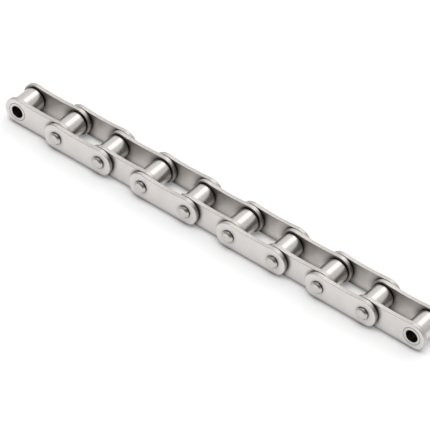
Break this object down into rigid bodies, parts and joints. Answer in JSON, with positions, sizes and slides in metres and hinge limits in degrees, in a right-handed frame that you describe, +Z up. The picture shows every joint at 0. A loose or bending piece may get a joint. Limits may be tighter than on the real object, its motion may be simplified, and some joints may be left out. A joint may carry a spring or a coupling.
{
  "type": "conveyor chain",
  "caption": "Straight length of roller conveyor chain: plain rollers on bushes between flat link plates, joined by riveted pins, with an open bush bore at each end.",
  "frame": {"origin": "on the surface that the round ends of the plates stand on, below the middle of the middle link", "axes": "+X along the chain, +Y across it along the pins, +Z up"},
  "size_m": [0.3824, 0.0374, 0.0225],
  "materials": {
    "plate_steel": "satin",
    "bush_steel": "satin",
    "roller_steel": "polished",
    "pin_steel": "satin"
  },
  "bodies": {
    "inner_link_1": {"inner_plate_front_1": "plate_steel", "inner_plate_back_1": "plate_steel", "bush_1": "bush_steel", "bush_2": "bush_steel"},
    "inner_link_2": {"inner_plate_front_2": "plate_steel", "inner_plate_back_2": "plate_steel", "bush_3": "bush_steel", "bush_4": "bush_steel"},
    "inner_link_3": {"inner_plate_front_3": "plate_steel", "inner_plate_back_3": "plate_steel", "bush_5": "bush_steel", "bush_6": "bush_steel"},
    "inner_link_4": {"inner_plate_front_4": "plate_steel", "inner_plate_back_4": "plate_steel", "bush_7": "bush_steel", "bush_8": "bush_steel"},
    "inner_link_5": {"inner_plate_front_5": "plate_steel", "inner_plate_back_5": "plate_steel", "bush_9": "bush_steel", "bush_10": "bush_steel"},
    "outer_link_1": {"outer_plate_front_1": "plate_steel", "outer_plate_back_1": "plate_steel", "pin_1": "pin_steel", "pin_2": "pin_steel"},
    "outer_link_2": {"outer_plate_front_2": "plate_steel", "outer_plate_back_2": "plate_steel", "pin_3": "pin_steel", "pin_4": "pin_steel"},
    "outer_link_3": {"outer_plate_front_3": "plate_steel", "outer_plate_back_3": "plate_steel", "pin_5": "pin_steel", "pin_6": "pin_steel"},
    "outer_link_4": {"outer_plate_front_4": "plate_steel", "outer_plate_back_4": "plate_steel", "pin_7": "pin_steel", "pin_8": "pin_steel"},
    "roller_1": {"roller_1": "roller_steel"},
    "roller_2": {"roller_2": "roller_steel"},
    "roller_3": {"roller_3": "roller_steel"},
    "roller_4": {"roller_4": "roller_steel"},
    "roller_5": {"roller_5": "roller_steel"},
    "roller_6": {"roller_6": "roller_steel"},
    "roller_7": {"roller_7": "roller_steel"},
    "roller_8": {"roller_8": "roller_steel"},
    "roller_9": {"roller_9": "roller_steel"},
    "roller_10": {"roller_10": "roller_steel"}
  },
  "joints": [
    {"name": "chain_joint_1", "type": "hinge", "parent": "outer_link_1", "child": "inner_link_1", "pos_m": [-0.14, 0, 0.01125], "axis": [0, 1, 0], "range_deg": [-60, 60]},
    {"name": "chain_joint_2", "type": "hinge", "parent": "inner_link_2", "child": "outer_link_1", "pos_m": [-0.1, 0, 0.01125], "axis": [0, 1, 0], "range_deg": [-60, 60]},
    {"name": "chain_joint_3", "type": "hinge", "parent": "outer_link_2", "child": "inner_link_2", "pos_m": [-0.06, 0, 0.01125], "axis": [0, 1, 0], "range_deg": [-60, 60]},
    {"name": "chain_joint_4", "type": "hinge", "parent": "inner_link_3", "child": "outer_link_2", "pos_m": [-0.02, 0, 0.01125], "axis": [0, 1, 0], "range_deg": [-60, 60]},
    {"name": "chain_joint_5", "type": "hinge", "parent": "inner_link_3", "child": "outer_link_3", "pos_m": [0.02, 0, 0.01125], "axis": [0, 1, 0], "range_deg": [-60, 60]},
    {"name": "chain_joint_6", "type": "hinge", "parent": "outer_link_3", "child": "inner_link_4", "pos_m": [0.06, 0, 0.01125], "axis": [0, 1, 0], "range_deg": [-60, 60]},
    {"name": "chain_joint_7", "type": "hinge", "parent": "inner_link_4", "child": "outer_link_4", "pos_m": [0.1, 0, 0.01125], "axis": [0, 1, 0], "range_deg": [-60, 60]},
    {"name": "chain_joint_8", "type": "hinge", "parent": "outer_link_4", "child": "inner_link_5", "pos_m": [0.14, 0, 0.01125], "axis": [0, 1, 0], "range_deg": [-60, 60]},
    {"name": "roller_1_spin", "type": "hinge", "parent": "inner_link_1", "child": "roller_1", "pos_m": [-0.18, 0, 0.01125], "axis": [0, 1, 0], "continuous": true},
    {"name": "roller_2_spin", "type": "hinge", "parent": "inner_link_1", "child": "roller_2", "pos_m": [-0.14, 0, 0.01125], "axis": [0, 1, 0], "continuous": true},
    {"name": "roller_3_spin", "type": "hinge", "parent": "inner_link_2", "child": "roller_3", "pos_m": [-0.1, 0, 0.01125], "axis": [0, 1, 0], "continuous": true},
    {"name": "roller_4_spin", "type": "hinge", "parent": "inner_link_2", "child": "roller_4", "pos_m": [-0.06, 0, 0.01125], "axis": [0, 1, 0], "continuous": true},
    {"name": "roller_5_spin", "type": "hinge", "parent": "inner_link_3", "child": "roller_5", "pos_m": [-0.02, 0, 0.01125], "axis": [0, 1, 0], "continuous": true},
    {"name": "roller_6_spin", "type": "hinge", "parent": "inner_link_3", "child": "roller_6", "pos_m": [0.02, 0, 0.01125], "axis": [0, 1, 0], "continuous": true},
    {"name": "roller_7_spin", "type": "hinge", "parent": "inner_link_4", "child": "roller_7", "pos_m": [0.06, 0, 0.01125], "axis": [0, 1, 0], "continuous": true},
    {"name": "roller_8_spin", "type": "hinge", "parent": "inner_link_4", "child": "roller_8", "pos_m": [0.1, 0, 0.01125], "axis": [0, 1, 0], "continuous": true},
    {"name": "roller_9_spin", "type": "hinge", "parent": "inner_link_5", "child": "roller_9", "pos_m": [0.14, 0, 0.01125], "axis": [0, 1, 0], "continuous": true},
    {"name": "roller_10_spin", "type": "hinge", "parent": "inner_link_5", "child": "roller_10", "pos_m": [0.18, 0, 0.01125], "axis": [0, 1, 0], "continuous": true}
  ]
}
